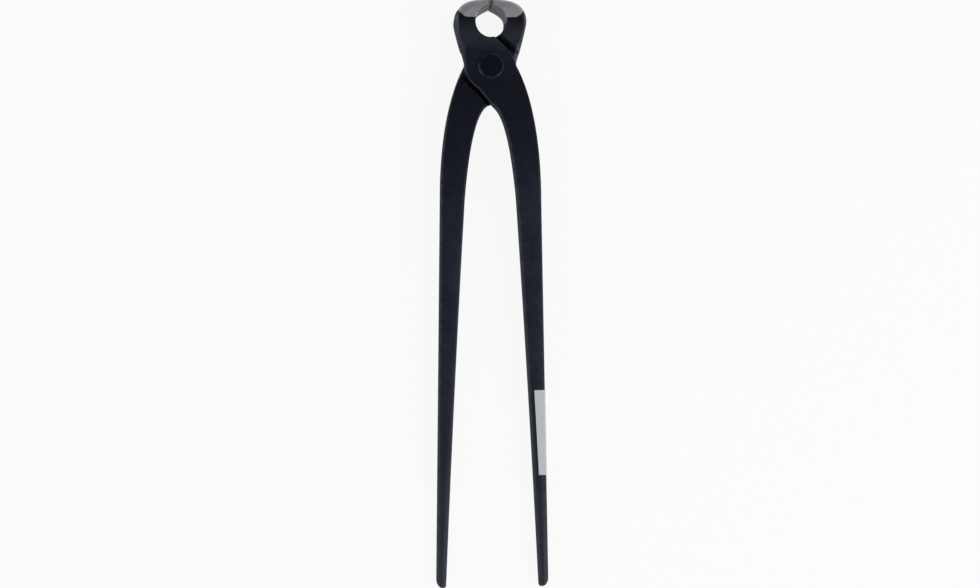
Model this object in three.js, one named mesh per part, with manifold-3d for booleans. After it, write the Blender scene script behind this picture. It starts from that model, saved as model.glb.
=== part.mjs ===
// Concreters' nippers: two like forged levers, one turned over on the other, held by a single rivet.
// Millimetres, +Z up along the rivet, +Y towards the jaws. The tool lies on its back with the jaws shut.
// The origin is the middle of the rivet's rear face.
import * as THREE from 'three';
import { mergeVertices } from 'three/addons/utils/BufferGeometryUtils.js';
import Module from 'manifold-3d';

// Joint: each lever keeps one half of the thickness here, and swings until its shoulders meet the other's
const JOINT_THICKNESS = 10.6;
const LAP_DIAMETER = 24.8;
const LAP_GAP = 0.3;
const SHOULDER_CLEARANCE = 0.4;
const SHOULDER_SLOPE = 24;
const SWING = 36;
const STOP_CLEARANCE = 2;

// Rivet
const RIVET_DIAMETER = 8;
const RIVET_CLEARANCE = 0.2;
const RIVET_HEAD_DIAMETER = 12.4;
const RIVET_HEAD_HEIGHT = 0.9;
const RIVET_HEAD_ROUND = 0.5;
const RIVET_SEAT_GAP = 0.2;

// Jaws
const JAW_DEPTH = 18;
const JAW_WALL = 10.1;
const WIRE_HOLE_DIAMETER = 14.2;
const HOLE_WEB = 1.3;
const EDGE_RISE = 0.2;
const EDGE_LAND = 2.2;
const EDGE_BEVEL = 1.2;
const EDGE_GAP = 0.3;
const NECK_ROUND = 2.3;
const NECK_RISE = 5;
const NECK_SPREAD = 1.4;
const CROWN_ROUND = 8;
const FLARE_START = 7;
const FLARE_LENGTH = 15;

// Handles: spans are measured across both handles, reaches from the pivot
const HANDLE_REACH = 248.5;
const HANDLE_END_SPAN = 53.6;
const HANDLE_END_WIDTH = 4.6;
const HANDLE_END_THICKNESS = 5.6;
const HANDLE_BOW = 0.4;
const BEND_REACH = 63;
const BEND_SPAN = 48.4;
const BEND_WIDTH = 11.8;
const BEND_ROUND = 20;
const BEND_LEAN = 1.8;
const ROOT_SPREAD = 10.4;
const ROOT_DROP = 21;
const CROTCH_REACH = 17.6;
const CROTCH_SPREAD = 7.4;
const CROTCH_DROP = 1.9;
const EDGE_ROUND = 1.6;

// Paper label, folded round the outer edge of the front lever's handle
const LABEL_LENGTH = 40.5;
const LABEL_REACH = 174.6;
const LABEL_INSET = 3;
const LABEL_PAPER = 0.4;
const LABEL_GAP = 0.15;

// Places on the rim of the lap, in degrees from the nearest axis
const NOTCH_ANGLE = 5;
const WEB_ANGLE = 30;
const WEB_WRAP = 24;

// Steps of round stretches, and how far cuts run past what they cut
const ROUND_STEPS = 72;
const CURVE_STEPS = 12;
const BEVEL_STEPS = 2;
const CUT_PAST = 2;

const lapRadius = LAP_DIAMETER / 2;
const halfLapGap = LAP_GAP / 2;
const halfJoint = JOINT_THICKNESS / 2;
const halfDepth = JAW_DEPTH / 2;
const holeRadius = WIRE_HOLE_DIAMETER / 2;
const holeHeight = lapRadius + HOLE_WEB + holeRadius;
const edgeFoot = holeHeight + holeRadius + EDGE_RISE;
const edgeTop = edgeFoot + EDGE_LAND;
const jawReach = edgeTop + EDGE_BEVEL;
const jawSpan = holeRadius + JAW_WALL;
const tipHeight = -HANDLE_REACH + HANDLE_END_WIDTH / 2;
const recessRadius = lapRadius + SHOULDER_CLEARANCE;
const midHeight = halfJoint + RIVET_SEAT_GAP + RIVET_HEAD_HEIGHT;
const cutDepth = Math.max(halfDepth, halfJoint) + CUT_PAST;

const wasm = await Module();
wasm.setup();

function radians(degrees) {
  return THREE.MathUtils.degToRad(degrees);
}

function around(centre, radius, degrees) {
  const angle = radians(degrees);
  return new THREE.Vector2(centre.x + radius * Math.cos(angle), centre.y + radius * Math.sin(angle));
}

function mirrored(point) {
  return new THREE.Vector2(-point.x, point.y);
}

function solidOf(geometry) {
  geometry.deleteAttribute('normal');
  geometry.deleteAttribute('uv');
  const merged = mergeVertices(geometry);
  const mesh = new wasm.Mesh({
    numProp: 3,
    vertProperties: new Float32Array(merged.attributes.position.array),
    triVerts: new Uint32Array(merged.index.array),
  });
  return new wasm.Manifold(mesh);
}

function geometryOf(solid) {
  const mesh = solid.getMesh();
  const indexed = new THREE.BufferGeometry();
  indexed.setAttribute('position', new THREE.BufferAttribute(mesh.vertProperties, 3));
  indexed.setIndex(new THREE.BufferAttribute(mesh.triVerts, 1));
  const geometry = indexed.toNonIndexed();
  geometry.computeVertexNormals();
  return geometry;
}

// A flat outline raised along Z from one height to another
function slab(outline, bottom, top) {
  const geometry = new THREE.ExtrudeGeometry(outline, {
    depth: top - bottom,
    bevelEnabled: false,
    curveSegments: CURVE_STEPS,
  });
  return solidOf(geometry.translate(0, 0, bottom));
}

// A round body on the pivot axis, straight or tapered
function drum(bottomRadius, topRadius, bottom, top) {
  const geometry = new THREE.CylinderGeometry(topRadius, bottomRadius, top - bottom, ROUND_STEPS);
  return solidOf(geometry.rotateX(Math.PI / 2).translate(0, 0, (top + bottom) / 2));
}

const pivot = new THREE.Vector2(0, 0);
const holeCentre = new THREE.Vector2(0, holeHeight);
const crotch = new THREE.Vector2(0, -CROTCH_REACH);
const notch = around(pivot, lapRadius, NOTCH_ANGLE);
const webAtHole = around(holeCentre, holeRadius, 270 + WEB_WRAP);
const webAbove = around(pivot, lapRadius, 90 - WEB_ANGLE);
const webBelow = around(pivot, lapRadius, 270 - WEB_ANGLE);

// Outer edge of the left jaw, from the notch at the lap to its widest place
function neckCurve() {
  return new THREE.CubicBezierCurve(
    mirrored(notch),
    new THREE.Vector2(-notch.x - NECK_SPREAD, notch.y + NECK_RISE),
    new THREE.Vector2(-jawSpan, holeHeight - NECK_ROUND),
    new THREE.Vector2(-jawSpan, holeHeight),
  );
}

// Front view of the left jaw: down the cutting edge, round the wire hole, over the lap, and up to the crown
function jawOutline() {
  const neck = neckCurve();
  const tangent = Math.acos(holeRadius / (holeRadius + EDGE_RISE));
  const outline = new THREE.Shape();
  outline.moveTo(-EDGE_GAP / 2, edgeTop);
  outline.lineTo(-EDGE_GAP / 2, edgeFoot);
  outline.absarc(0, holeHeight, holeRadius, Math.PI / 2 + tangent, radians(270 + WEB_WRAP), false);
  outline.lineTo(webAbove.x, webAbove.y);
  outline.lineTo(pivot.x, pivot.y);
  outline.lineTo(neck.v0.x, neck.v0.y);
  outline.bezierCurveTo(neck.v1.x, neck.v1.y, neck.v2.x, neck.v2.y, neck.v3.x, neck.v3.y);
  outline.bezierCurveTo(
    -jawSpan, holeHeight + CROWN_ROUND,
    -jawSpan + CROWN_ROUND, jawReach,
    -EDGE_BEVEL, jawReach,
  );
  outline.closePath();
  return outline;
}

// Side view of the jaws: the joint's thickness flaring to the depth of the cutting edge
function flareOutline() {
  const flareEnd = FLARE_START + FLARE_LENGTH;
  const middle = FLARE_START + FLARE_LENGTH / 2;
  const past = jawReach + CUT_PAST;
  const outline = new THREE.Shape();
  outline.moveTo(-CUT_PAST, -halfJoint);
  outline.lineTo(FLARE_START, -halfJoint);
  outline.bezierCurveTo(middle, -halfJoint, middle, -halfDepth, flareEnd, -halfDepth);
  outline.lineTo(past, -halfDepth);
  outline.lineTo(past, halfDepth);
  outline.lineTo(flareEnd, halfDepth);
  outline.bezierCurveTo(middle, halfDepth, middle, halfJoint, FLARE_START, halfJoint);
  outline.lineTo(-CUT_PAST, halfJoint);
  outline.closePath();
  return outline;
}

function jaw() {
  const halfWidth = jawSpan + CUT_PAST;
  const flare = new THREE.ExtrudeGeometry(flareOutline(), {
    depth: 2 * halfWidth,
    bevelEnabled: false,
    curveSegments: CURVE_STEPS,
  });
  const across = new THREE.Matrix4().makeBasis(
    new THREE.Vector3(0, 1, 0),
    new THREE.Vector3(0, 0, 1),
    new THREE.Vector3(1, 0, 0),
  );
  flare.translate(0, 0, -halfWidth).applyMatrix4(across);
  return slab(jawOutline(), -cutDepth, cutDepth).intersect(solidOf(flare));
}

// Outer edge of the right handle, from the notch at the lap to the bend
function rootCurve(grow) {
  const bendOuter = BEND_SPAN / 2 + grow;
  return new THREE.CubicBezierCurve(
    notch,
    new THREE.Vector2(notch.x + ROOT_SPREAD, notch.y - ROOT_DROP),
    new THREE.Vector2(bendOuter, -BEND_REACH + BEND_ROUND),
    new THREE.Vector2(bendOuter, -BEND_REACH),
  );
}

// Front view of the right handle; grow moves its long edges out, for what is wrapped round them
function handleOutline(grow) {
  const root = rootCurve(grow);
  const endOuter = HANDLE_END_SPAN / 2 + grow;
  const endInner = HANDLE_END_SPAN / 2 - HANDLE_END_WIDTH - grow;
  const bendInner = BEND_SPAN / 2 - BEND_WIDTH - grow;
  const endRadius = (endOuter - endInner) / 2;
  const outline = new THREE.Shape();
  outline.moveTo(pivot.x, pivot.y);
  outline.lineTo(notch.x, notch.y);
  outline.bezierCurveTo(root.v1.x, root.v1.y, root.v2.x, root.v2.y, root.v3.x, root.v3.y);
  outline.absarc(endInner + endRadius, tipHeight, endRadius, 0, -Math.PI, true);
  outline.quadraticCurveTo(
    (endInner + bendInner) / 2 + 2 * HANDLE_BOW, (tipHeight - BEND_REACH) / 2,
    bendInner, -BEND_REACH,
  );
  outline.bezierCurveTo(
    bendInner - BEND_LEAN, -BEND_REACH + BEND_ROUND,
    crotch.x + CROTCH_SPREAD, crotch.y - CROTCH_DROP,
    crotch.x, crotch.y,
  );
  outline.lineTo(webBelow.x, webBelow.y);
  outline.closePath();
  return outline;
}

// The right handle, as thick as the joint at the pivot and thinning evenly to its end
function handle(grow) {
  const edge = Math.min(EDGE_ROUND, HANDLE_END_WIDTH / 3);
  const thickness = JOINT_THICKNESS + 2 * grow;
  const endScale = (HANDLE_END_THICKNESS + 2 * grow) / thickness;
  const geometry = new THREE.ExtrudeGeometry(handleOutline(grow), {
    depth: thickness - 2 * edge,
    bevelThickness: edge,
    bevelSize: edge,
    bevelOffset: -edge,
    bevelSegments: BEVEL_STEPS,
    curveSegments: CURVE_STEPS,
  });
  geometry.translate(0, 0, edge - thickness / 2);
  const places = geometry.attributes.position;
  for (let i = 0; i < places.count; i += 1) {
    const along = -places.getY(i) / HANDLE_REACH;
    places.setZ(i, places.getZ(i) * (1 + along * (endScale - 1)));
  }
  return solidOf(geometry);
}

// Room for the web of the other lever, beyond the line from its lap's rim to its tip
function webRoom(rim, tip) {
  const along = tip.clone().sub(rim).normalize();
  const clear = new THREE.Vector2(-along.y, along.x).multiplyScalar(SHOULDER_CLEARANCE);
  const start = rim.clone().add(clear);
  const end = tip.clone().add(clear).addScaledVector(along, CUT_PAST);
  const far = new THREE.Vector2(-Math.sign(start.x) * lapRadius, end.y);
  return new THREE.Shape([pivot, start, end, far]);
}

// Room for an outer edge of the other lever, up to where that edge stands when the nippers are wide open
function swingRoom(edge, side) {
  const turn = radians(SWING + STOP_CLEARANCE);
  const stop = edge.getPoints(CURVE_STEPS).slice(0, CURVE_STEPS / 2);
  stop.forEach((point) => point.rotateAround(pivot, turn));
  const corner = new THREE.Vector2(stop.at(-1).x, side * lapRadius);
  return new THREE.Shape([pivot, ...stop, corner].map(mirrored));
}

// What the other lever takes out of this one's lower half: its lap, its two webs and its swing
function lapRecess() {
  const top = halfLapGap;
  const slope = Math.tan(radians(SHOULDER_SLOPE)) * (cutDepth + top);
  return drum(recessRadius + slope, recessRadius, -cutDepth, top)
    .add(slab(webRoom(mirrored(webAbove), mirrored(webAtHole)), -cutDepth, top))
    .add(slab(webRoom(mirrored(webBelow), mirrored(crotch)), -cutDepth, top))
    .add(slab(swingRoom(rootCurve(0), -1), -cutDepth, top))
    .add(slab(swingRoom(neckCurve(), 1), -cutDepth, top));
}

// One forging: the left jaw, the upper half of the joint and the right handle
function lever() {
  const boreRadius = RIVET_DIAMETER / 2 + RIVET_CLEARANCE;
  const blank = jaw().add(drum(lapRadius, lapRadius, -halfJoint, halfJoint)).add(handle(0));
  return blank.subtract(lapRecess()).subtract(drum(boreRadius, boreRadius, -cutDepth, cutDepth));
}

function rivet() {
  const shank = RIVET_DIAMETER / 2;
  const rim = RIVET_HEAD_DIAMETER / 2;
  const seat = halfJoint + RIVET_SEAT_GAP;
  const face = seat + RIVET_HEAD_HEIGHT;
  const profile = [
    [0, -face], [rim - RIVET_HEAD_ROUND, -face], [rim, -face + RIVET_HEAD_ROUND], [rim, -seat],
    [shank, -seat], [shank, seat],
    [rim, seat], [rim, face - RIVET_HEAD_ROUND], [rim - RIVET_HEAD_ROUND, face], [0, face],
  ];
  const points = profile.map(([radius, height]) => new THREE.Vector2(radius, height));
  return solidOf(new THREE.LatheGeometry(points, ROUND_STEPS).rotateX(Math.PI / 2));
}

// Where the slightly bowed inner edge of the right handle lies at a height
function innerEdge(height) {
  const bendInner = BEND_SPAN / 2 - BEND_WIDTH;
  const endInner = HANDLE_END_SPAN / 2 - HANDLE_END_WIDTH;
  const along = THREE.MathUtils.mapLinear(height, -BEND_REACH, tipHeight, 0, 1);
  return THREE.MathUtils.lerp(bendInner, endInner, along) + 4 * HANDLE_BOW * along * (1 - along);
}

// Paper folded over the handle's outer edge, which leaves a bare strip along the inner edge
function label() {
  const top = -LABEL_REACH + LABEL_LENGTH / 2;
  const bottom = -LABEL_REACH - LABEL_LENGTH / 2;
  const far = HANDLE_END_SPAN / 2 + BEND_SPAN / 2;
  const patch = new THREE.Shape([
    new THREE.Vector2(innerEdge(top) + LABEL_INSET, top),
    new THREE.Vector2(innerEdge(bottom) + LABEL_INSET, bottom),
    new THREE.Vector2(far, bottom),
    new THREE.Vector2(far, top),
  ]);
  const sleeve = handle(LABEL_GAP + LABEL_PAPER).subtract(handle(LABEL_GAP));
  return sleeve.intersect(slab(patch, -cutDepth, cutDepth));
}

function piece(name, solid, color, roughness, metalness) {
  const material = new THREE.MeshStandardMaterial({ color, roughness, metalness });
  const mesh = new THREE.Mesh(geometryOf(solid), material);
  mesh.name = name;
  return mesh;
}

const forging = lever();
const frontLever = piece('front_lever', forging, 0x1e222b, 0.45, 0.6);
const rearLever = piece('rear_lever', forging, 0x1e222b, 0.45, 0.6);
rearLever.rotation.y = Math.PI;

const nippers = new THREE.Group();
nippers.position.z = midHeight;
nippers.add(frontLever, rearLever);
nippers.add(piece('pivot_rivet', rivet(), 0x0e121c, 0.5, 0.6));
nippers.add(piece('paper_label', label(), 0xb4b8bc, 0.8, 0));

export default nippers;
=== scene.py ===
# %% [markdown]
# Concreters' nippers, dressed for a studio picture.
# Two forged levers cross in a riveted lap joint. The packed CAD model is loaded as a fixed frame, and each
# visible piece is worked out again here as a fine surface in the same place, with its finish.

# %% Load the frame
import math

import bmesh
import bpy
import numpy as np
from mathutils import Matrix, Vector


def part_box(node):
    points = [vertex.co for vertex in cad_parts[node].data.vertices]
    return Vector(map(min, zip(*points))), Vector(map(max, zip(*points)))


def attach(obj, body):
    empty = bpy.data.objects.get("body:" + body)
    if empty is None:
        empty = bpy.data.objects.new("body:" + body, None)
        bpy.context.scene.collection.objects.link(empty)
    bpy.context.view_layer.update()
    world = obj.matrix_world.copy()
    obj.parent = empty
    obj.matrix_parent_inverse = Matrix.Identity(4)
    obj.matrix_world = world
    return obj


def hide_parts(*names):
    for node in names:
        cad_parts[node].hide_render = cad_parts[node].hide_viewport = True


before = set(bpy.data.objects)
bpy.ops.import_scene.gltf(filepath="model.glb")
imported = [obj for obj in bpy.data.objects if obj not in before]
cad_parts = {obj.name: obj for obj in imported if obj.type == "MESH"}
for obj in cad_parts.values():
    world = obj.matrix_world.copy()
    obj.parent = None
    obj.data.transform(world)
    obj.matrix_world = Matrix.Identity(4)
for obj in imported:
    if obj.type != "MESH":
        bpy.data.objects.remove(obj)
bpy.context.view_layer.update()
MM = 0.001
lever_low, lever_high = (np.array(corner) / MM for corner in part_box("front_lever"))
rivet_low, rivet_high = (np.array(corner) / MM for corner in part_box("pivot_rivet"))
label_low, label_high = (np.array(corner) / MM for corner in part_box("paper_label"))
print("front lever, mm:", lever_low.round(2), lever_high.round(2))

# %% [markdown]
# A lever seen from the front is a ribbon between two edges. It runs from the handle's end up to the joint,
# widens into the round lap, and curls round the wire hole to the cutting edge. The overall reaches come from
# the frame, and the sizes of the round lap and the wire hole are those of the forging. Everything here is in
# millimetres about the joint's middle plane, and is turned to metres when a mesh is made.

# %% Sizes of the forging
JOINT_THICKNESS = 10.6
LAP_RADIUS = 12.4
HOLE_RADIUS = 7.1
HOLE_WEB = 1.3

mid_height = (lever_low[2] + lever_high[2]) / 2
half_depth = (lever_high[2] - lever_low[2]) / 2
half_joint = JOINT_THICKNESS / 2
handle_reach = -lever_low[1]
handle_end_span = lever_high[0]
jaw_span = -lever_low[0]
jaw_reach = lever_high[1]
hole_height = LAP_RADIUS + HOLE_WEB + HOLE_RADIUS
print("jaw reach", jaw_reach.round(2), "handle reach", handle_reach.round(2), "middle height", mid_height.round(2))

# %% [markdown]
# An edge is drawn as a designer would draw it: arcs, straight lines and a few smooth curves, laid end to end.
# Each stretch is then divided into equal steps, so that a point on one edge has a partner on the other.

# %% Drawing helpers
FINE = 240


def arc(centre, radius, start, end):
    """Points of a circle about centre, at angles running evenly from start to end, in degrees."""
    angle = np.radians(np.linspace(start, end, FINE))
    return np.asarray(centre) + radius * np.column_stack([np.cos(angle), np.sin(angle)])


def line(start, end):
    """Points that divide the straight way from start to end."""
    share = np.linspace(0, 1, FINE)[:, None]
    return np.asarray(start) * (1 - share) + np.asarray(end) * share


def bezier(start, pull_start, pull_end, end):
    """A cubic curve: the four points weighted by the Bernstein polynomials of degree three."""
    t = np.linspace(0, 1, FINE)[:, None]
    corners = [np.asarray(p, float) for p in (start, pull_start, pull_end, end)]
    weights = [(1 - t) ** 3, 3 * t * (1 - t) ** 2, 3 * t ** 2 * (1 - t), t ** 3]
    return sum(weight * corner for weight, corner in zip(weights, corners))


def corner(low, side):
    """A quarter of an ellipse that leaves low sideways and reaches side going straight up."""
    angle = np.linspace(0, math.pi / 2, FINE)
    return np.asarray(low) + np.column_stack([np.sin(angle), 1 - np.cos(angle)]) * (np.asarray(side) - low)


def bowed(start, end, bow):
    """The straight way from start to end, pushed towards +X by bow at its middle: 4 * bow * t * (1 - t)."""
    share = np.linspace(0, 1, FINE)
    return line(start, end) + np.outer(4 * bow * share * (1 - share), [1, 0])


def stepped(stretches, count):
    """The stretches joined into one path and divided into count equal steps by its length."""
    path = np.concatenate(stretches)
    walked = np.concatenate([[0], np.cumsum(np.linalg.norm(np.diff(path, axis=0), axis=1))])
    places = np.linspace(0, walked[-1], count)
    return np.column_stack([np.interp(places, walked, path[:, axis]) for axis in (0, 1)])


def on_lap(degrees):
    """The point of the lap's rim at an angle from +X."""
    angle = math.radians(degrees)
    return np.array([LAP_RADIUS * math.cos(angle), LAP_RADIUS * math.sin(angle)])


def smoothstep(t):
    """3t^2 - 2t^3 between 0 and 1, and flat outside."""
    t = np.clip(t, 0, 1)
    return t * t * (3 - 2 * t)


quarter_rim = stepped([arc((0, 0), LAP_RADIUS, 0, 90)], 4)
print("a quarter of the lap's rim in three steps:", quarter_rim.round(2).tolist())

# %% [markdown]
# Where the outline turns. A handle ends in a tip with uneven corners and runs straight to its bend. Above the bend
# the root sweeps in to a notch beside the lap. A web joins the lap to the rim of the wire hole, the top of the hole
# springs into a pointed arch, and the crown of the jaw ends in a narrow land that meets the other jaw.

# %% Points on the outline
TIP_OUTER = np.array([3.3, 4.4])
TIP_INNER = np.array([1.3, 1.5])
BEND_REACH = 63.0
BEND_SPAN = 24.2
BEND_WIDTH = 11.8
CROTCH_REACH = 18.2
NOTCH_ANGLE = 1
WEB_ANGLE = 30
WEB_WRAP = 15
ARCH_ANGLE = 166
EDGE_RISE = 0.2
EDGE_CHAMFER = 0.4
EDGE_GAP = 0.3

mirror_x = np.array([-1, 1])
hole_centre = np.array([0, hole_height])
tip_low = np.array([handle_end_span - TIP_OUTER[0], -handle_reach])
tip_outer = tip_low + TIP_OUTER
tip_inner = tip_low + TIP_INNER * mirror_x
bend_outer = np.array([BEND_SPAN, -BEND_REACH])
bend_inner = np.array([BEND_SPAN - BEND_WIDTH, -BEND_REACH])
crotch = np.array([0, -CROTCH_REACH])
notch = on_lap(NOTCH_ANGLE)
web_at_hole = arc(hole_centre, HOLE_RADIUS, 270 + WEB_WRAP, 270)[0]
web_above = on_lap(90 - WEB_ANGLE)
web_below = on_lap(270 - WEB_ANGLE)
arch_spring = arc(hole_centre, HOLE_RADIUS, ARCH_ANGLE, 0)[0]
widest = np.array([-jaw_span, hole_height])
crown_end = np.array([-EDGE_CHAMFER, jaw_reach])
land_foot = np.array([-EDGE_GAP / 2, hole_height + HOLE_RADIUS + EDGE_RISE])
land_top = np.array([-EDGE_GAP / 2, jaw_reach - EDGE_CHAMFER])
print("cutting land from", land_foot.round(2), "to", land_top.round(2), "and crotch at", crotch)

# %% [markdown]
# The two edges of the front lever. The first runs up the outside of the right handle, over the lap and round
# the wire hole. The second runs up the inside of that handle, through the crotch, round the other side of the
# lap and over the crown of the left jaw. Both end at the cutting edge.

# %% Edges of the lever
HANDLE_BOW = 0.4
ARCH_PULL = np.array([0.4, 2.1])
STEPS = {"tip": 14, "straight": 100, "root": 84, "joint": 110, "neck": 80, "crown": 90}

outer_stretches = {
    "tip": [corner(tip_low, tip_outer)],
    "straight": [line(tip_outer, bend_outer)],
    "root": [bezier(bend_outer, bend_outer + [0, 17], notch + [9.9, -18], notch)],
    "joint": [bezier(notch, notch + [-0.2, 3.6], web_at_hole + [5.3, -4.0], web_at_hole)],
    "neck": [arc(hole_centre, HOLE_RADIUS, 270 + WEB_WRAP, 180)],
    "crown": [arc(hole_centre, HOLE_RADIUS, 180, ARCH_ANGLE),
              bezier(arch_spring, arch_spring + ARCH_PULL, land_foot - [2.6, 1.35], land_foot)],
}
inner_stretches = {
    "tip": [corner(tip_low, tip_inner)],
    "straight": [bowed(tip_inner, bend_inner, HANDLE_BOW)],
    "root": [bezier(bend_inner, bend_inner + [-1.8, 20], crotch + [7.4, -1.9], crotch)],
    "joint": [line(crotch, web_below), arc((0, 0), LAP_RADIUS, 270 - WEB_ANGLE, 180 - NOTCH_ANGLE)],
    "neck": [bezier(notch * mirror_x, notch * mirror_x + [-1.4, 5], widest - [0, 2.3], widest)],
    "crown": [bezier(widest, widest + [0, 9], (-jaw_span + 7.6, jaw_reach), crown_end), line(crown_end, land_top)],
}


def whole_edge(stretches):
    """All stretches one after another, without repeating the point where two meet."""
    parts = [stepped(pieces, STEPS[name])[1:] for name, pieces in stretches.items()]
    first = stepped(stretches["tip"], STEPS["tip"])[:1]
    return np.concatenate([first] + parts)


outer_edge = whole_edge(outer_stretches)
inner_edge = whole_edge(inner_stretches)
stations = np.cumsum([0] + [count - 1 for count in STEPS.values()])
print("rings along the lever:", len(outer_edge), "stations:", stations)

# %% [markdown]
# How thick the forging is. The handles taper in thickness towards their ends, the joint is even, and the jaws
# swell towards the cutting edge. The grinder then takes a slow bevel off the crown of each jaw.

# %% Thickness
HANDLE_END_THICKNESS = 5.6
FLARE_START = 7.0
FLARE_LENGTH = 15.0
JAW_BEVEL = math.tan(math.radians(11))
JAW_BEVEL_START = 27.0
BEVEL_FLAT = 8.0
BEVEL_FALL = 0.12


def above_bevel(x, y):
    """Distance along Y above the line where the jaw's bevel starts, which falls away towards the outside."""
    line_height = JAW_BEVEL_START - BEVEL_FALL * np.maximum(np.abs(x) - BEVEL_FLAT, 0) ** 2
    return np.where(y > hole_height, y - line_height, -1.0)


def half_thickness(x, y):
    """Half the forging's thickness: a straight taper down the handle, a smooth step up into the jaw, and a slow
    bevel off the jaw above a line that falls away towards its outside."""
    taper = np.clip(-y / handle_reach, 0, None) * (HANDLE_END_THICKNESS / JOINT_THICKNESS - 1)
    flare = smoothstep((y - FLARE_START) / FLARE_LENGTH)
    bevel = JAW_BEVEL * np.maximum(above_bevel(x, y), 0)
    return half_joint * (1 + taper) + (half_depth - half_joint) * flare - bevel


print("half thickness at joint, jaw and handle end:",
      [float(half_thickness(0.0, np.array(y)).round(2)) for y in (0.0, 25.0, -handle_reach)])

# %% [markdown]
# Round the joint half of the thickness is milled away, so that the two levers lie inside each other. The cutter
# leaves a pocket for the other lever's round lap, and takes in the room that lever needs when the jaws are wide
# open. The field below says how far a place lies outside that pocket.

# %% Lap pocket
SHOULDER_CLEARANCE = 0.4
SWING_ROOM = math.radians(38)
WEB_REACH = 5.0
SWING_REACH = 4.0
ROOT_PLACE = -5.0
NECK_PLACE = 9.0

inner_root = outer_stretches["root"][0] * mirror_x
right_neck = inner_stretches["neck"][0] * mirror_x


def beyond(x, y, start, end):
    """Distance of (x, y) to the right of the straight line that runs from start to end."""
    way = (np.asarray(end) - start) / np.linalg.norm(np.asarray(end) - start)
    return (x - start[0]) * way[1] - (y - start[1]) * way[0]


def turned(point, angle):
    """A point turned clockwise about the pivot."""
    c, s = math.cos(angle), math.sin(angle)
    return np.array([point[0] * c + point[1] * s, -point[0] * s + point[1] * c])


def pocket_distance(x, y):
    """Distance outside the milled pocket, below zero inside it. The pocket is the round lap of the other lever
    with a little room, its two webs, and the room its root and neck need when the jaws are wide open."""
    round_lap = np.hypot(x, y) - LAP_RADIUS - SHOULDER_CLEARANCE
    web_hole = beyond(x, y, web_at_hole * mirror_x, web_above * mirror_x) - SHOULDER_CLEARANCE
    web_crotch = beyond(x, y, crotch, web_below * mirror_x) - SHOULDER_CLEARANCE
    root_far = inner_root[np.argmin(np.abs(inner_root[:, 1] - ROOT_PLACE))]
    root_line = beyond(x, y, turned(root_far, SWING_ROOM), turned(notch * mirror_x, SWING_ROOM))
    neck_far = right_neck[np.argmin(np.abs(right_neck[:, 1] - NECK_PLACE))]
    neck_line = beyond(x, y, turned(notch, SWING_ROOM), turned(neck_far, SWING_ROOM))
    rooms = [
        round_lap,
        np.maximum(web_hole, WEB_REACH - y),
        np.maximum(web_crotch, y + WEB_REACH),
        np.maximum(np.maximum(-root_line, x), -SWING_REACH - y),
        np.maximum(np.maximum(neck_line, -x), y - SWING_REACH),
    ]
    return np.minimum.reduce(rooms)


print("outside the pocket, at the pivot and at the left jaw:",
      [round(float(pocket_distance(*place)), 2) for place in ((0.0, 0.0), (-13.0, 25.0))])

# %% [markdown]
# The section of a lever. Between two partner points it goes up one side, round a corner, across the face, round the
# next corner, down the other side, and back underneath. Forging dies leave sides that lean a little and a trimmed
# seam at half height. The corners are rounder on the handles, which a hand holds, and at the neck of the jaw, than
# at the lap and the wire hole, which are machined. One quarter of the section is worked out at a time.

# %% Section of a lever
WALL_STEPS = 8
CORNER_STEPS = 8
FACE_STEPS = 26
DRAFT = math.tan(math.radians(2.5))
CROWN_HEIGHT = 0.25
SEAM_HEIGHT = 0.1
SEAM_WIDTH = 0.45
TIP_ROUND = 1.8
LEAST_SINE = 0.45
CORNER_SHARE = 0.7
WIDEST_SHARE = 0.8
LEAN_SHARE = 0.1
HANDLE_FROM = 12.0
HANDLE_EASE = 20.0

turn = np.linspace(0, math.pi / 2, CORNER_STEPS, endpoint=False)
on_wall = np.linspace(0, 1, WALL_STEPS, endpoint=False) ** 1.4
on_face = np.linspace(0, 1, FACE_STEPS)
before_face = np.zeros(WALL_STEPS + CORNER_STEPS)
wall_share = np.concatenate([on_wall, np.ones(CORNER_STEPS + FACE_STEPS)])
corner_in = np.concatenate([np.zeros(WALL_STEPS), 1 - np.cos(turn), np.ones(FACE_STEPS)])
corner_up = np.concatenate([np.zeros(WALL_STEPS), np.sin(turn), np.ones(FACE_STEPS)])
face_share = np.concatenate([before_face, on_face])
rim_share = np.concatenate([np.zeros(WALL_STEPS), np.sin(2 * turn), np.zeros(FACE_STEPS)])


def squareness(edge, way):
    """The sine of the angle between an edge and the section line that meets it, not below its least."""
    along = np.gradient(edge, axis=0)
    along /= np.maximum(np.linalg.norm(along, axis=1, keepdims=True), 1e-9)
    return np.maximum(np.abs(along[:, 0] * way[:, 1] - along[:, 1] * way[:, 0]), LEAST_SINE)[:, None]


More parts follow.
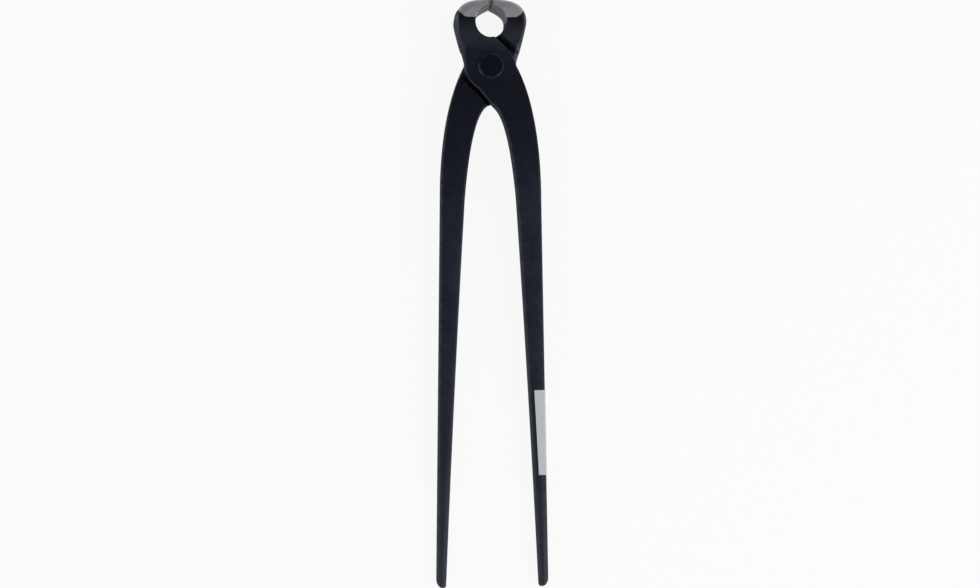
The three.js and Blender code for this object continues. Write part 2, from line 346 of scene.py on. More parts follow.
def quarter_skin(edge, partner, radius, grow=0.0):
    """A quarter of the skin, from the foot of the wall on edge to the middle of the face. With h the half
    thickness and r the corner radius, a place lies in = lean + r * (1 - cos) + its share of half the width, and
    up = (h - r) * its share of the wall + r * sin, less the face's slight crown. With grow, all of it lies that
    much further out."""
    span = partner - edge
    half_width = np.maximum(np.linalg.norm(span, axis=1), 1e-6)[:, None] / 2
    way = span / (2 * half_width)
    way[0] = way[1]
    edge = edge - way * grow
    half_width = half_width + grow
    edge_h = half_thickness(edge[:, :1], edge[:, 1:])
    r = np.minimum(radius[:, None], CORNER_SHARE * half_width) + grow
    r_in = np.minimum(r / squareness(edge, way), WIDEST_SHARE * half_width)
    lean = np.minimum(DRAFT * (edge_h - r), LEAN_SHARE * half_width)
    inwards = lean * wall_share + r_in * corner_in + face_share * (half_width - r_in - lean)
    x = edge[:, :1] + way[:, :1] * inwards
    y = edge[:, 1:] + way[:, 1:] * inwards
    ended = np.clip((y + handle_reach) / TIP_ROUND, 0, 1)
    h = half_thickness(x, y) * np.sqrt(1 - (1 - ended) ** 2) + grow
    r_up = np.minimum(r, WIDEST_SHARE * h)
    on_handle = smoothstep((-y - HANDLE_FROM) / HANDLE_EASE)
    z = (h - r_up) * wall_share + r_up * corner_up - CROWN_HEIGHT * on_handle * corner_up * (1 - face_share) ** 2
    seam = SEAM_HEIGHT * on_handle * ended * np.exp(-(z / SEAM_WIDTH) ** 2)
    return np.stack([x - way[:, :1] * seam, y - way[:, 1:] * seam, z], axis=-1)


print("points in a quarter of the section:", len(wall_share))

# %% [markdown]
# How round the corners are. The radius is given where the stretches of the edges meet, in order from the tip to the
# cutting edge, and eased between. The neck of the jaw, which the other lever's handle never covers, is rounder still.

# %% Corners of the forging
EASE_RINGS = 9
NECK_ROUND = 2.2
NECK_RINGS = 24
NECK_SPREAD = 16


def by_station(values):
    """One value for each ring, eased between the values given at the stations where the stretches meet."""
    plain = np.interp(np.arange(stations[-1] + 1), stations, values)
    padded = np.pad(plain, EASE_RINGS, mode="edge")
    window = 2 * EASE_RINGS + 1
    return np.convolve(padded, np.full(window, 1 / window), mode="valid")


ring = np.arange(stations[-1] + 1)
neck_middle = np.exp(-((ring - stations[4] - NECK_RINGS) / NECK_SPREAD) ** 2)
outer_radius = by_station([1.4, 1.3, 1.2, 0.7, 0.5, 0.5, 0.2])
inner_radius = by_station([1.4, 1.3, 1.2, 0.8, 0.6, 1.7, 2.0]) + NECK_ROUND * neck_middle
outer_quarter = quarter_skin(outer_edge, inner_edge, outer_radius)
inner_quarter = quarter_skin(inner_edge, outer_edge, inner_radius)
print("quarters of the section:", outer_quarter.shape, "roundest corner", inner_radius.max().round(2))

# %% [markdown]
# Milling the pocket. On the underside the cutter's floor lies just above the middle plane, and its wall slopes, so
# each quarter of the section takes the higher of the forging's face and the cut. A wheel has rounded the edges
# where the cut runs out at the neck and the root. The rim of the lap itself stays crisp, because it is the bearing.

# %% Milled pocket
LAP_GAP = 0.3
SHOULDER_SLOPE = math.radians(17)
POCKET_FILLET = 0.5
OPEN_ROUND = 2.4
OPEN_RINGS = 6
RIM_FILLET = 0.35

root_open = smoothstep((stations[3] - ring) / OPEN_RINGS)
neck_open = smoothstep((ring - stations[4]) / OPEN_RINGS)


def pocket_floor(x, y):
    """Height of the milled pocket: its floor is half the lap gap above the middle plane, and outside it the
    shoulder falls away at its slope, with a fillet of quadratic shape where the two meet."""
    away = pocket_distance(x, y)
    eased = POCKET_FILLET * np.clip((away + POCKET_FILLET) / (2 * POCKET_FILLET), 0, 1) ** 2
    drop = np.where(away > POCKET_FILLET, away, eased) / math.tan(SHOULDER_SLOPE)
    return LAP_GAP / 2 - drop


def edge_nearness(points):
    """1 at the edge a quarter starts from, falling to 0 at the width of an open edge's rounding."""
    away = np.linalg.norm(points[..., :2] - points[:, :1, :2], axis=-1)
    return np.clip(1 - away / OPEN_ROUND, 0, 1)


def rounded_floor(points, open_share):
    """The pocket's height with its open edges rounded: r - sqrt(r^2 - (r - d)^2) higher at a distance d from the
    edge. The share is 1 along the neck and the root, and 0 along the lap's own rim, which stays crisp."""
    rise = OPEN_ROUND * (1 - np.sqrt(1 - edge_nearness(points) ** 2)) * open_share[:, None]
    return pocket_floor(points[..., 0], points[..., 1]) + rise


def milled(points, open_share):
    """The same quarter on the underside, with the pocket milled out: the higher of the forging's face and the
    pocket, joined by a soft rim."""
    z = -points[..., 2]
    floor = rounded_floor(points, open_share)
    soft = RIM_FILLET * np.clip(-z / 2, 0, 1)
    lifted = (z + floor + np.hypot(z - floor, soft)) / 2
    return np.concatenate([points[..., :2], lifted[..., None]], axis=-1)


def on_pocket(points, open_share):
    """The same quarter on the upper side, whose wall starts at the pocket's floor where there is one."""
    foot = np.maximum(rounded_floor(points[:, :1], open_share), 0)
    z = points[..., 2] + foot * (1 - wall_share)
    return np.concatenate([points[..., :2], z[..., None]], axis=-1)


def pocket_share(points, open_share):
    """1 where the pocket has taken the forging's underside away, falling to 0 over a millimetre of depth."""
    return np.clip(rounded_floor(points, open_share) + points[..., 2], 0, 1)


print("pocket floor at the pivot:", float(pocket_floor(0.0, 0.0)))

# %% [markdown]
# Four quarters close a ring: two on the upper side, and two underneath with the pocket milled out. All the rings
# together are the skin of a lever.

# %% Skin of a lever
def closed(upper_outer, upper_inner, lower_inner, lower_outer):
    """Four quarters joined into whole rings: across the upper side and back underneath."""
    parts = [upper_outer, upper_inner[:, -2::-1], lower_inner[:, 1:], lower_outer[:, -2:0:-1]]
    return np.concatenate(parts, axis=1)


lever_skin = closed(
    on_pocket(outer_quarter, root_open),
    on_pocket(inner_quarter, neck_open),
    milled(inner_quarter, neck_open),
    milled(outer_quarter, root_open),
)
print("lever skin grid:", lever_skin.shape)

# %% [markdown]
# From arrays to meshes. A grid of rings becomes quads between neighbours, each ring closed on itself. An end
# is closed by a strip of quads between the two halves of its ring, which suits the flat cutting land, and an
# end that has shrunk to a point is merged into one vertex. Values such as how far a place has been ground bare
# go along as attributes, for the materials to read.

# %% Mesh helper
MERGE = 2e-6
SHARP = math.radians(34)


def ring_cap(first, around):
    """Quads across a ring that is symmetric about its places 0 and around / 2, with a triangle at each end."""
    j = np.arange(1, around // 2 - 1)
    quads = first + np.column_stack([j, j + 1, around - j - 1, around - j])
    ends = first + np.array([[0, 1, around - 1], [around // 2 - 1, around // 2, around // 2 + 1]])
    return quads.tolist() + ends.tolist()


def skin_piece(name, grid, capped=(), values=None):
    """A mesh object from grid[ring, place] in millimetres, with its capped rings closed and its values stored."""
    rings, around = grid.shape[:2]
    i, j = np.meshgrid(np.arange(rings - 1), np.arange(around), indexing="ij")
    after = (j + 1) % around
    corners = [i * around + j, i * around + after, (i + 1) * around + after, (i + 1) * around + j]
    faces = np.stack(corners, axis=-1).reshape(-1, 4).tolist()
    for ring in capped:
        faces += ring_cap((ring % rings) * around, around)
    mesh = bpy.data.meshes.new(name)
    mesh.from_pydata((grid.reshape(-1, 3) * MM).tolist(), [], faces)
    for key, value in (values or {}).items():
        mesh.attributes.new(key, "FLOAT", "POINT").data.foreach_set("value", value.reshape(-1).astype(np.float32))
    tidy = bmesh.new()
    tidy.from_mesh(mesh)
    bmesh.ops.remove_doubles(tidy, verts=tidy.verts, dist=MERGE)
    bmesh.ops.dissolve_degenerate(tidy, edges=tidy.edges, dist=MERGE / 4)
    bmesh.ops.recalc_face_normals(tidy, faces=tidy.faces)
    tidy.to_mesh(mesh)
    tidy.free()
    mesh.polygons.foreach_set("use_smooth", np.ones(len(mesh.polygons), bool))
    mesh.set_sharp_from_angle(angle=SHARP)
    piece = bpy.data.objects.new(name, mesh)
    bpy.context.scene.collection.objects.link(piece)
    print(name, len(mesh.vertices), "vertices", len(mesh.polygons), "faces")
    return piece


print("points merge within", MERGE / MM, "mm, and edges turn sharp at", round(math.degrees(SHARP)), "degrees")

# %% [markdown]
# What has happened to the surface, and where light and shade are painted on it. The jaws are ground bare along a
# shallow curve, and the wire hole is bare from about its middle up, but dull, and its steel is painted darker as the
# shade inside the hole. The corners are painted lighter, partly rubbed wear and partly painted highlight, most of all
# at the neck, where the painted highlight stands for rounded edges catching the light. The sides are rougher, where
# the forging's flash was trimmed. The black is painted darker from the handle roots over the joint and up the jaws,
# as painted shade, and painted lighter towards the ends of the handles, as painted reflection. Each of these is
# stored as a value for every point of the skin, which the material reads: ground passes one half where the grinding
# starts, and a dark line is painted as the shadow in the gap where the two edges touch.

# %% Wear, finish and painted light
GROUND_START = 22.6
GROUND_CURVE = 0.15
GROUND_CORNER = 11.0
BARE_HOLE = 20.5
GROUND_BLUR = 4.0
# Painted shadow: the width of the dark line along the cutting land, where the gap between the jaws is in shade.
GAP_SHADOW_WIDTH = 0.95
# Painted highlight along the neck's corner and the pocket's rounded edge there, for rounded edges catching the light.
NECK_HIGHLIGHT = 14.0
# The jaw's outer edge is painted lighter: rubbed wear and painted highlight.
JAW_WEAR_AND_HIGHLIGHT = 2.5
BEVEL_BLUR = 0.9
# Painted light: the black turns lighter from here to the ends of the handles, standing for their brighter reflection.
END_LIGHT_START = -120.0
# Painted shade along the tool: how much darker the black is painted at each height, from the handle roots over the
# joint and up the jaws.
SHADE_PLACES = [-70, -52, -35, -22, -8, 0, 8, 14, 20]
SHADE_SHARES = [0, 0.35, 0.8, 1, 1, 0.6, 0.4, 0.5, 0.95]
HOLE_SKIN = 0.35

x, y = lever_skin[..., 0], lever_skin[..., 1]
flank_line = GROUND_START + GROUND_CURVE * np.maximum(np.abs(x) - GROUND_CORNER, 0) ** 2
# Inside the wire hole the bare steel is duller, and its colour is painted darker as the shade there.
in_hole = np.hypot(x, y - hole_height) < HOLE_RADIUS + HOLE_SKIN
bare_line = np.where(in_hole, BARE_HOLE, flank_line)
ground = np.clip(0.5 + (y - bare_line) / GROUND_BLUR, 0, 1)
whole = np.ones(outer_quarter.shape[:2])
kept_inner = 1 - pocket_share(inner_quarter, neck_open)
kept_outer = 1 - pocket_share(outer_quarter, root_open)
# Painted highlight: the corner lightening is raised along the jaw's outer edge and at the neck, and laid on the
# pocket's rounded open edge at the neck.
jaw_edge = smoothstep((ring - stations[5] + NECK_RINGS) / NECK_SPREAD)
jaw_edge *= smoothstep((stations[6] - ring) / NECK_SPREAD)
jaw_rim = rim_share * (1 + JAW_WEAR_AND_HIGHLIGHT * jaw_edge[:, None])
neck_rim = jaw_rim * kept_inner * (1 + NECK_HIGHLIGHT * neck_middle[:, None])
neck_rim += NECK_HIGHLIGHT * neck_open[:, None] * edge_nearness(inner_quarter) ** 0.5 * (1 - kept_inner)
rim = closed(whole * rim_share, jaw_rim, neck_rim, rim_share * kept_outer)
side = closed(whole - corner_up, whole - corner_up, (1 - corner_up) * kept_inner, (1 - corner_up) * kept_outer)
on_lap_rim = (ring > stations[3]) & (ring < stations[4])
# Painted shade on the faces round the joint and the jaws, not on the lap rim's walls or in the milled pocket.
shaded = np.where(on_lap_rim[:, None] & (corner_up < 1), 0.0, 1.0)
painted_shade = closed(shaded, shaded, shaded * kept_inner, shaded * kept_outer) * np.interp(y, SHADE_PLACES, SHADE_SHARES)
# A dark line painted along the cutting land above the hole, as the shadow in the gap where the two edges touch.
gap_shadow = np.exp(-(x / GAP_SHADOW_WIDTH) ** 2) * smoothstep(y - hole_height)
values = {
    "ground": ground,
    "rim": rim,
    "side": side,
    "dull_and_shaded": in_hole.astype(float),
    "gap_shadow": gap_shadow,
    "painted_shade": painted_shade,
    "bevel": smoothstep(above_bevel(x, y) / BEVEL_BLUR + 0.5),
    "painted_end_light": smoothstep((END_LIGHT_START - y) / (END_LIGHT_START + handle_reach)),
}
print("share of the skin that is bare:", (ground > 0.5).mean().round(3), "and oiled:", (painted_shade > 0.5).mean().round(3))

# %% [markdown]
# The two levers are the same forging. The rear one is turned half a turn about the tool's length, so its jaw is
# on the right, its handle on the left, and its pocket faces forward.

# %% The levers
about_length = np.array([-1, 1, -1])
lift = np.array([0, 0, mid_height])
front_lever = skin_piece("front_lever_forging", lever_skin + lift, (-1,), values)
rear_lever = skin_piece("rear_lever_forging", lever_skin * about_length + lift, (-1,), values)

# %% [markdown]
# Each lap is drilled for the rivet. A drill is a plain turned bar, so one is made, taken out of both levers with
# a Boolean, and thrown away.

# %% The bores
TURNS = 112
BORE_RADIUS = 4.2


def turned_skin(profile):
    """The profile carried round the pivot: (r cos a, r sin a, h) for each (r, h) and every angle a."""
    angle = np.linspace(0, 2 * math.pi, TURNS, endpoint=False)
    radius, height = profile[:, :1], profile[:, 1:]
    return np.stack([radius * np.cos(angle), radius * np.sin(angle), np.repeat(height, TURNS, axis=1)], axis=-1)


drill_reach = JOINT_THICKNESS * np.array([-1, -1, 1, 1])
drill_profile = np.column_stack([BORE_RADIUS * np.array([0, 1, 1, 0]), drill_reach])
drill = skin_piece("drill", turned_skin(drill_profile) + lift)
for lever, body in ((front_lever, "front"), (rear_lever, "rear")):
    cut = lever.modifiers.new("bore", "BOOLEAN")
    cut.operation = "DIFFERENCE"
    cut.object = drill
    drilled = bpy.data.meshes.new_from_object(lever.evaluated_get(bpy.context.evaluated_depsgraph_get()))
    lever.modifiers.clear()
    lever.data = drilled
    drilled.set_sharp_from_angle(angle=SHARP)
    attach(lever, body)
    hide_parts(body + "_lever")
    print(lever.name, "drilled:", len(drilled.vertices), "vertices")
bpy.data.objects.remove(drill)

# %% [markdown]
# The pivot rivet. A steel pin is pushed through both laps and its ends are pressed into low, flat heads with a
# rounded rim. A lathe makes such a shape: a profile turned about the pivot. The press leaves a faint ring sunk into
# the head near its rim.

# %% The rivet
SHANK_RADIUS = 4.0
HEAD_ROUND = 1.0
HEAD_SEAT = 1.06
RIM_FOOT = 0.14
RIM_UNDERCUT = 0.15
RIM_FLATTER = 0.2
RING_DEPTH = 0.12
RING_RADIUS = 3.9
RING_WIDTH = 0.35

head_radius = rivet_high[0]
rise = np.linspace(0, math.pi / 2, 9)
crown_radii = (head_radius - HEAD_ROUND) * np.linspace(1, 0, 14)
crown_drop = RING_DEPTH * np.exp(-((crown_radii - RING_RADIUS) / RING_WIDTH) ** 2)
rim_out = head_radius - HEAD_ROUND * (1 - np.cos(rise))
rim_up = (HEAD_ROUND - RIM_FLATTER) * (np.sin(rise) - 1)
head_profile = np.concatenate([
    [[SHANK_RADIUS, -HEAD_SEAT], [head_radius - RIM_UNDERCUT, -HEAD_SEAT], [head_radius, -HEAD_SEAT + RIM_FOOT]],
    np.column_stack([rim_out, rim_up])[:-1],
    np.column_stack([crown_radii, -crown_drop]),
])
upper = head_profile + [0, rivet_high[2]]
lower = head_profile[::-1] * [1, -1] + [0, rivet_low[2]]
profile = np.concatenate([lower, upper])
# The rivet head's outer rim is painted lighter, for rubbed wear and painted highlight.
rivet_rim = np.repeat(np.clip(profile[:, :1] / head_radius * 5 - 4, 0, 1), TURNS, axis=1)
rivet = skin_piece("pivot_rivet_pressed", turned_skin(profile), (), {"rim": rivet_rim})
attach(rivet, "front")
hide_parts("pivot_rivet")

# %% [markdown]
# The paper label. It is a strip stuck round the outside of the right handle, cut square at both ends, so it follows
# the handle's own section with a small lift, and its inner edge has started to come away. It is blank. Building it
# from the same quarter section as the handle keeps the paper on the steel all the way round.

# %% The label
LABEL_INSET = 2.5
PAPER = 0.16
STUCK = 0.05
LABEL_RINGS = 70
CURL = 0.16

label_y = np.linspace(label_low[1], label_high[1], LABEL_RINGS)
outside_x = np.interp(label_y, [tip_outer[1], bend_outer[1]], [tip_outer[0], bend_outer[0]])
inside_edge = inner_stretches["straight"][0]
inside_x = np.interp(label_y, inside_edge[:, 1], inside_edge[:, 0])
handle_outside = np.column_stack([outside_x, label_y])
paper_partner = np.column_stack([2 * (inside_x + LABEL_INSET) - outside_x, label_y])
label_round = np.interp(label_y, [tip_outer[1], bend_outer[1]], [1.4, 1.3])
waves = 0.05 * np.sin(label_y * 0.55) + 0.04 * np.sin(label_y * 1.31 + 1)
curl = np.outer(CURL + waves, face_share ** 4)


def paper_quarter(grow):
    """The handle's quarter section lifted by grow, with the free edge curling off the steel."""
    sheet = quarter_skin(handle_outside, paper_partner, label_round, grow)
    sheet[..., 2] += curl
    return sheet


below = np.array([1, 1, -1])
under, over = paper_quarter(STUCK), paper_quarter(STUCK + PAPER)
cut_edge = (over[:, -1:] + under[:, -1:]) / 2
outside = [cut_edge, over[:, ::-1], over[:, 1:] * below]
inside = [cut_edge * below, under[:, :0:-1] * below, under]
label_skin = np.concatenate(outside + inside, axis=1)
label = skin_piece("paper_label_strip", label_skin + lift, (0, -1))
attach(label, "front")
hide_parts("paper_label")

# %% [markdown]
# Shader maths. A node tree is a sum written with boxes, so a small class wraps a socket and lets Python's own
# operators add the boxes: a * b makes a Multiply node. Any other node comes from one method that takes its
# type, its settings and what goes into its sockets.

# %% Sockets as numbers
class Socket:
    """One output of a node. Arithmetic with numbers or other sockets adds Math nodes."""

    def __init__(self, tree, output):
        """Keeps the tree and the output."""
        self.tree = tree
        self.output = output

    def math(self, operation, *values):
        """A Math node of one operation on the values."""
        node = self.tree.nodes.new("ShaderNodeMath")
        node.operation = operation
        for slot, value in zip(node.inputs, values):
            feed(self.tree, slot, value)
        return Socket(self.tree, node.outputs[0])

    def __add__(self, other):
        return self.math("ADD", self, other)

    def __sub__(self, other):
        return self.math("SUBTRACT", self, other)

    def __mul__(self, other):
        return self.math("MULTIPLY", self, other)

    def __rsub__(self, other):
        return self.math("SUBTRACT", other, self)

    __radd__ = __add__
    __rmul__ = __mul__


def feed(tree, slot, value):
    """Links a socket into a slot, or writes a plain value there."""
    if isinstance(value, Socket):
        tree.links.new(value.output, slot)
    else:
        slot.default_value = value


print("operators that add nodes: + - *")

# %% [markdown]
# A finish owns a node tree and adds nodes to it. The few kinds that are used again and again, such as noise and a
# soft threshold, have their own short names.

# %% Node trees
class Finish:
    """A material's node tree, with one method that adds any node."""

    def __init__(self, owner):
        """Empties the tree of a material or a world."""
        owner.use_nodes = True
        self.tree = owner.node_tree
        self.tree.nodes.clear()

    def node(self, kind, settings=None, sockets=None, out=0):
        """Any node, with its settings and what goes into its sockets."""
        node = self.tree.nodes.new(kind)
        for key, value in (settings or {}).items():
            setattr(node, key, value)
        for key, value in (sockets or {}).items():
            feed(self.tree, node.inputs[key], value)
        return Socket(self.tree, node.outputs[out]) if node.outputs else None

    def noise(self, place, scale, detail=3.0, roughness=0.55):
        """Noise at a place, with so many grains to the metre."""
        sockets = {"Vector": place, "Scale": scale, "Detail": detail, "Roughness": roughness}
        return self.node("ShaderNodeTexNoise", {}, sockets)

    def ramp(self, value, low, high):
        """0 below low and 1 above high, eased between."""
        sockets = {"Value": value, "From Min": low, "From Max": high}
        return self.node("ShaderNodeMapRange", {"interpolation_type": "SMOOTHSTEP"}, sockets)

    def stretched(self, place, scale):
        """A place with each axis scaled, for grain that has a direction."""
        sockets = {"Vector": place, "Scale": scale}
        return self.node("ShaderNodeMapping", {"vector_type": "POINT"}, sockets)

    def mix(self, share, first, second):
        """A colour between two others."""
        node = self.tree.nodes.new("ShaderNodeMix")
        node.data_type = "RGBA"
        for slot, value in ((0, share), (6, first), (7, second)):
            feed(self.tree, node.inputs[slot], value)
        return Socket(self.tree, node.outputs[2])

    def surface(self, sockets):
        """The one shader of the material, with these inputs."""
        shader = self.node("ShaderNodeBsdfPrincipled", {}, sockets)
        self.node("ShaderNodeOutputMaterial", {}, {"Surface": shader})


print("ways to add nodes:", [key for key in vars(Finish) if not key.startswith("__")])

# %% [markdown]
# Black forged steel. The levers are blackened in a hot phosphate bath and oiled: a blue-black skin, satin, with
# cloudy patches and a fine forged grain. The corners are painted a little lighter, partly rubbed wear and partly
# painted highlight. The black is painted darker round the joint and up the jaws as painted shade, and lighter towards
# the ends of the handles as painted reflection. On the jaws the grinder has cut through the skin to bare steel, with
# fine lines across, and the border wanders; the bevel on the crown is painted darker as shade and warmer in tone, the
# steel inside the wire hole is painted darker as shade, and a dark line is painted as the shadow in the gap where the
# edges touch. The rivet has the same skin, darker and duller, and of the stored values it has only the lighter rim,
# rubbed wear and painted highlight.

# %% Black forged steel
# Painted light: a lighter grey towards the ends of the handles.
END_LIGHT_GREY = (0.0260, 0.0275, 0.0310, 1)
# Painted shade: a darker black round the joint and the jaws.
SHADE_BLACK = (0.0010, 0.0016, 0.0034, 1)
# Rubbed wear and painted highlight on the corners.
RUBBED_AND_LIT = (0.075, 0.078, 0.086, 1)
FLANK = (0.31, 0.315, 0.325, 1), (0.42, 0.425, 0.437, 1)
# The crown's bevel: painted darker, as shade on that tilted facet, and warmer in tone.
CROWN_SHADED = (0.28, 0.278, 0.267, 1), (0.385, 0.382, 0.367, 1)
# Painted shade: the darker steel inside the wire hole.
HOLE_SHADE_STEEL = (0.12, 0.122, 0.118, 1)
# Painted shadow in the gap between the jaws' edges.
GAP_SHADOW_BLACK = (0.02, 0.021, 0.023, 1)


def blackened_steel(name, deep, pale, wear_and_highlight, shine):
    """Blackened steel between a deep and a pale tone, with painted shade and painted light where the stored values
    ask, its corners lighter for rubbed wear and painted highlight, and ground bare in places.
    """
    finish = Finish(bpy.data.materials.new(name))
    place = finish.node("ShaderNodeTexCoord", out="Object")
    cloud = finish.noise(place, 42.0)
    mottle = finish.noise(place, 300.0, 4.0)
    grain = finish.noise(place, 1700.0, 4.0, 0.6)
    lines = finish.noise(finish.stretched(place, (110.0, 2600.0, 160.0)), 1.0, 3.0)
    brushed = finish.noise(finish.stretched(place, (1500.0, 45.0, 1500.0)), 1.0, 3.0)
    names = ("ground", "rim", "dull_and_shaded", "gap_shadow", "painted_shade", "side", "bevel", "painted_end_light")
    ground, rim, dull_and_shaded, gap_shadow, painted_shade, side, bevel, painted_end_light = (
        finish.node("ShaderNodeAttribute", {"attribute_name": key}, out="Fac") for key in names)
    bare = finish.ramp(ground + (mottle - 0.5) * 0.18 + (lines - 0.5) * 0.10, 0.46, 0.54)
    patchy = finish.ramp(cloud * 0.55 + mottle * 0.45, 0.36, 0.64)
    # Painted light: the skin lighter towards the handle ends.
    skin = finish.mix(painted_end_light * 0.55, finish.mix(patchy, deep, pale), END_LIGHT_GREY)
    # Painted shade: the black darker round the joint and up the jaws.
    skin = finish.mix(painted_shade * 0.95, skin, SHADE_BLACK)
    # The corners are painted lighter: rubbed wear and painted highlight.
    rubbed_and_lit = rim * finish.ramp(mottle + brushed * 0.4, 0.5, 0.95) * wear_and_highlight
    skin = finish.mix(rubbed_and_lit, skin, RUBBED_AND_LIT)
    flank = finish.mix(lines, *FLANK)
    # The crown's bevel steel is painted darker as shade, and warmer.
    crown = finish.mix(lines, *CROWN_SHADED)
    steel = finish.mix(bevel, flank, crown)
    # Inside the wire hole the colour is painted darker as shade; the dullness itself is in the metallic and roughness
    # below.
    steel = finish.mix(dull_and_shaded, steel, HOLE_SHADE_STEEL)
    # Painted shadow: a dark line in the gap where the jaws' edges touch.
    steel = finish.mix(gap_shadow * 0.85, steel, GAP_SHADOW_BLACK)
    black_rough = 0.36 + grain * 0.10 + patchy * 0.06 + side * 0.35
    steel_rough = 0.30 + lines * 0.12 + dull_and_shaded * 0.2
    height = (grain * 0.55 + mottle * 0.5 + brushed * 0.25) * (1 - bare) + lines * bare * 0.5
    bump = finish.node("ShaderNodeBump", {}, {"Strength": 0.32, "Distance": 0.00012, "Height": height})
    finish.surface({
        "Base Color": finish.mix(bare, skin, steel),
        "Metallic": bare * (0.45 - dull_and_shaded * 0.35),
        "Roughness": black_rough + (steel_rough - black_rough) * bare,
        "Specular IOR Level": shine,
        "Specular Tint": (0.70, 0.83, 1.0, 1),
        "Normal": bump,
    })
    return bpy.data.materials[name]


forged = blackened_steel(
    "black_forged_steel_worn", (0.0066, 0.0079, 0.0134, 1), (0.0124, 0.0141, 0.0214, 1), wear_and_highlight=0.35, shine=0.27)
pressed = blackened_steel(
    "black_rivet_steel_worn", (0.0006, 0.0014, 0.0040, 1), (0.0020, 0.0032, 0.0065, 1), wear_and_highlight=0.6, shine=0.16)
front_lever.data.materials.append(forged)
rear_lever.data.materials.append(forged)
rivet.data.materials.append(pressed)
print("steel finishes:", forged.name, pressed.name)

# %% [markdown]
# Label paper: uncoated, off-white with a cool cast under the studio light, handled by dusty gloves. The fibres
# give it a very fine tooth, and a few grey scuffs follow the creases.

# %% Label paper
paper = Finish(bpy.data.materials.new("label_paper_handled"))
place = paper.node("ShaderNodeTexCoord", out="Object")
fibre = paper.noise(paper.stretched(place, (5200.0, 1400.0, 5200.0)), 1.0, 4.0)
smudge = paper.ramp(paper.noise(place, 170.0, 4.0), 0.52, 0.80)
tint = paper.mix(fibre, (0.47, 0.49, 0.50, 1), (0.56, 0.58, 0.59, 1))
tooth = paper.node("ShaderNodeBump", {}, {"Strength": 0.25, "Distance": 0.00005, "Height": fibre})
paper.surface({
    "Base Color": paper.mix(smudge * 0.35, tint, (0.25, 0.26, 0.28, 1)),
    "Roughness": 0.72 + fibre * 0.15,
    "Normal": tooth,
})
label.data.materials.append(bpy.data.materials["label_paper_handled"])
print("label finish:", label.data.materials[0].name)

# %% [markdown]
# The table. The tool lies on the sides of its jaws and the ends of its handles, so a flat table under it leans
# a little in the tool's own frame.

# %% Table
TABLE_REACH = 4000.0
TABLE_CLEARANCE = 0.05
TABLE_POINTS = 9

jaw_rest = np.array([FLARE_START + FLARE_LENGTH, mid_height - half_depth])
tip_rest = np.array([-handle_reach + TIP_ROUND, mid_height - HANDLE_END_THICKNESS / 2])
table_slope = (tip_rest[1] - jaw_rest[1]) / (tip_rest[0] - jaw_rest[0])


def table_skin(count):
    """A flat grid whose height follows the line through the jaw's resting face and the handle's end."""
    reach = np.linspace(-TABLE_REACH, TABLE_REACH, count)
    x, y = np.meshgrid(reach, reach, indexing="ij")
    return np.stack([x, y, jaw_rest[1] - TABLE_CLEARANCE + table_slope * (y - jaw_rest[0])], axis=-1)


table_grid = table_skin(TABLE_POINTS)
rows, columns = np.meshgrid(np.arange(TABLE_POINTS - 1), np.arange(TABLE_POINTS - 1), indexing="ij")
first = (rows * TABLE_POINTS + columns).reshape(-1)
table_mesh = bpy.data.meshes.new("table")
table_faces = np.column_stack([first, first + TABLE_POINTS, first + TABLE_POINTS + 1, first + 1]).tolist()
table_mesh.from_pydata((table_grid.reshape(-1, 3) * MM).tolist(), [], table_faces)
table = bpy.data.objects.new("table", table_mesh)
bpy.context.scene.collection.objects.link(table)
print("table leans", round(math.degrees(math.atan(table_slope)), 2), "degrees")

# %% [markdown]
# The table is white card. It takes the tool's soft shadow, and to the eye it glows a little, so that the card stays
# white. Mirror-like steel sees the same glow.

# %% White card
CARD_GLOW = 0.9

card = Finish(bpy.data.materials.new("white_card"))
ray = card.node("ShaderNodeLightPath", out="Is Camera Ray")
glossy = card.node("ShaderNodeLightPath", out="Is Glossy Ray")
through = card.node("ShaderNodeLightPath", out="Is Transmission Ray")
matt = card.node("ShaderNodeBsdfDiffuse", {}, {"Color": (0.86, 0.86, 0.86, 1)})
glow = card.node("ShaderNodeEmission", {}, {"Color": (1, 1, 1, 1), "Strength": 1.0})
seen = card.node("ShaderNodeMixShader", {}, {0: (ray + glossy + through) * CARD_GLOW, 1: matt, 2: glow})
card.node("ShaderNodeOutputMaterial", {}, {"Surface": seen})
table.data.materials.append(bpy.data.materials["white_card"])
print("table finish:", table.data.materials[0].name)

# %% [markdown]
# Light. The picture was taken in a white tent: bright all round near the table, and dimmer above the tool, where the
# camera looks in. So the sky is a gradient about the darkest direction.

# %% Sky
HORIZON = (0.95, 0.96, 0.98, 1)
ZENITH = (0.15, 0.16, 0.19, 1)
DARK_WAY = Vector((-0.12, 0.34, 0.93)).normalized()

tent = bpy.data.worlds.new("tent")
bpy.context.scene.world = tent
sky = Finish(tent)
way = sky.node("ShaderNodeTexCoord", out="Generated")
height = sky.node("ShaderNodeVectorMath", {"operation": "DOT_PRODUCT"}, {0: way, 1: DARK_WAY}, "Value")
shade = sky.mix(sky.ramp(height, 0.25, 0.98), HORIZON, ZENITH)
backdrop = sky.node("ShaderNodeBackground", {}, {"Color": shade, "Strength": 1.0})
sky.node("ShaderNodeOutputWorld", {}, {"Surface": backdrop})
print("the sky is darkest towards", [round(c, 2) for c in DARK_WAY])

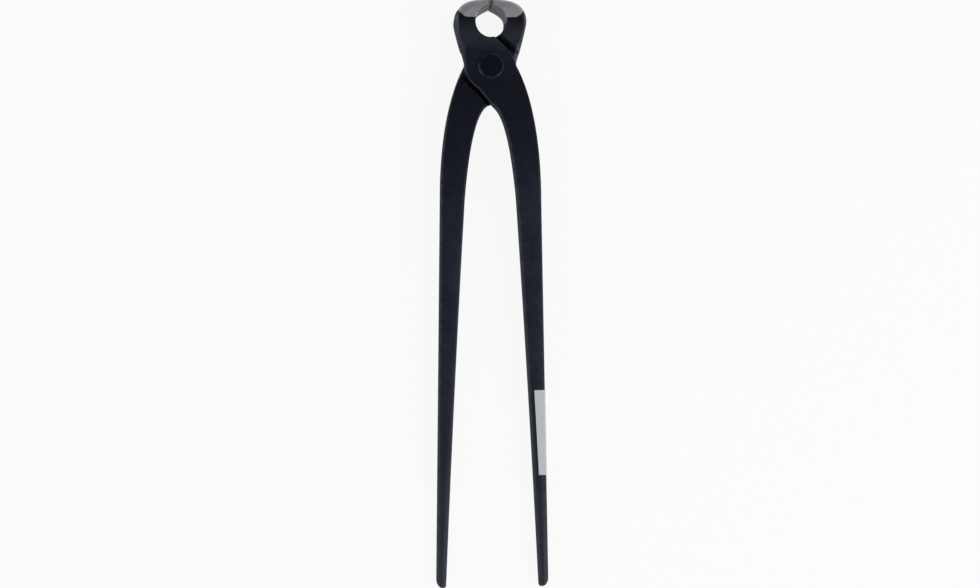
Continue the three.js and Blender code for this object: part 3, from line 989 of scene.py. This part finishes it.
# %% [markdown]
# Two wide lamps fill from the sides. The right one is stronger, and gives the handles the faint light along their
# edges.

# %% Lamps
def lamp(name, place, aim, width, power):
    """A square lamp at place, facing aim, both in metres."""
    data = bpy.data.lights.new(name, "AREA")
    data.shape = "SQUARE"
    data.size = width
    data.energy = power
    made = bpy.data.objects.new(name, data)
    made.location = place
    made.rotation_euler = (Vector(aim) - Vector(place)).to_track_quat("-Z", "Y").to_euler()
    bpy.context.scene.collection.objects.link(made)
    return made


left = lamp("lamp_left", (-1.3, -0.5, 1.0), (0, -0.1, 0), 1.0, 6)
right = lamp("lamp_right", (1.3, -0.7, 0.9), (0, -0.1, 0), 1.0, 12)
print("lamps, watts:", left.data.energy, right.data.energy)

# %% [markdown]
# The camera looks almost straight down from a step to the left, about 80 cm away. The photograph is 980 by 588
# pixels and shows the tool at its full height, so its scale follows from the tool's length, and the tool is turned
# a quarter of a degree in it.

# %% Camera
IMAGE_WIDTH = 980
SENSOR = 36.0
MM_PER_PIXEL = 0.4778
DISTANCE = 800.0
SIDE_STEP = math.radians(5.5)
ROLL = 0.0050
AIM = (-0.45, -108.4, mid_height)

camera_data = bpy.data.cameras.new("camera")
camera_data.sensor_width = SENSOR
camera_data.sensor_fit = "HORIZONTAL"
camera_data.lens = SENSOR * DISTANCE / (IMAGE_WIDTH * MM_PER_PIXEL)
camera = bpy.data.objects.new("camera", camera_data)
back = Vector((-math.sin(SIDE_STEP), 0, math.cos(SIDE_STEP)))
upright = Vector((math.sin(ROLL), math.cos(ROLL), 0))
across = upright.cross(back).normalized()
upright = back.cross(across)
turn_matrix = np.array([across, upright, back]).T
camera.rotation_euler = Matrix(turn_matrix.tolist()).to_euler()
camera.location = (Vector(AIM) + back * DISTANCE) * MM
bpy.context.scene.collection.objects.link(camera)
bpy.context.scene.camera = camera
bpy.context.scene.view_settings.view_transform = "Standard"
print("lens", round(camera_data.lens, 1), "mm")

# %% [markdown]
# Last, the size. The box of the CAD model was kept at the start, and the dressed part should fill the same box.
